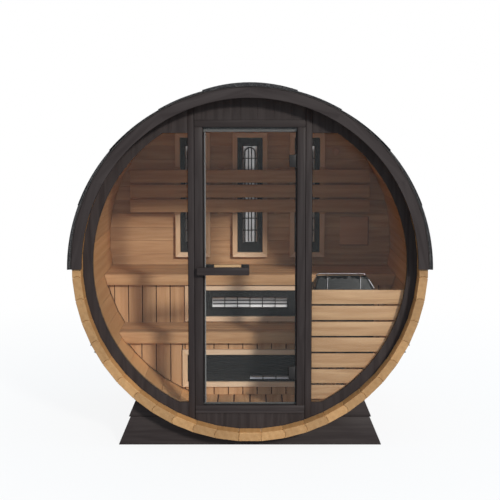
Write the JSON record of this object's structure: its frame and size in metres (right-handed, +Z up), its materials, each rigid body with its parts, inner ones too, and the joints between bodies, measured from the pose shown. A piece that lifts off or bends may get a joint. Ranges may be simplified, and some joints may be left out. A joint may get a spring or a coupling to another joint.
{
  "type": "barrel sauna",
  "caption": "Barrel-shaped timber sauna cabin lying on two cradles, with a glazed front wall, a hinged glass door, benches, infrared emitters, a heater and a strip roof.",
  "frame": {"origin": "centre of the footprint at ground level, under the middle of the barrel", "axes": "+Z up; +Y from the glazed front towards the back wall along the barrel; +X to the right seen from the front"},
  "size_m": [2.0514, 1.7406, 2.09],
  "materials": {
    "stave_wood": "clear stained softwood",
    "roof_board": "thin stained roof boards",
    "roofing": "granulated bitumen roofing",
    "steel": "stainless strap",
    "dark_stain": "dark grey-brown stained softwood",
    "grey_stop": "grey stained stop strip",
    "window_glass": "clear toughened glass",
    "door_glass": "clear toughened glass",
    "hinge_metal": "black coated",
    "handle_dark": "dark stained",
    "handle_light": "natural wood",
    "emitter_frame": "natural wood frame",
    "heater_steel": "dark coated steel",
    "bright_rail": "polished rail",
    "sensor_plastic": "dark plastic",
    "interior_wood": "natural softwood"
  },
  "bodies": {
    "cabin": {"back_wall": "dark_stain", "backrest": "interior_wood", "backrest_battens": "interior_wood", "bench_bearers": "interior_wood", "bench_emitter_lower": "emitter_frame", "bench_emitter_upper": "emitter_frame", "cradle_back": "dark_stain", "cradle_front": "dark_stain", "door_frame": "dark_stain", "door_hinge_brackets": "hinge_metal", "door_stops": "grey_stop", "fascia_back": "dark_stain", "fascia_front": "dark_stain", "floor_boards": "interior_wood", "floor_joists": "interior_wood", "front_wall_bottom": "dark_stain", "front_wall_left": "dark_stain", "front_wall_right": "dark_stain", "front_wall_top": "dark_stain", "heater": "heater_steel", "heater_guard": "interior_wood", "heater_rails": "bright_rail", "lower_bench": "interior_wood", "lower_riser": "interior_wood", "post_left": "dark_stain", "post_right": "dark_stain", "roof_courses_left": "roofing", "roof_courses_right": "roofing", "roof_deck_left": "roof_board", "roof_deck_right": "roof_board", "roof_ridge": "roofing", "sensor": "sensor_plastic", "staves_bottom": "stave_wood", "staves_left": "stave_wood", "staves_right": "stave_wood", "staves_top": "stave_wood", "steel_hoops": "steel", "upper_bench": "interior_wood", "upper_riser": "interior_wood", "vent_slide": "interior_wood", "wall_emitter_left": "emitter_frame", "wall_emitter_middle": "emitter_frame", "wall_emitter_right": "emitter_frame", "window_left": "window_glass", "window_right": "window_glass"},
    "door": {"door_glass": "door_glass", "door_handle_inside": "handle_light", "door_handle_outside": "handle_dark", "door_hinge_clamps": "hinge_metal"}
  },
  "joints": [
    {"name": "door_hinge", "type": "hinge", "parent": "cabin", "child": "door", "pos_m": [0.256, -0.7405, 1.0405], "axis": [0, 0, 1], "range_deg": [0, 100]}
  ]
}
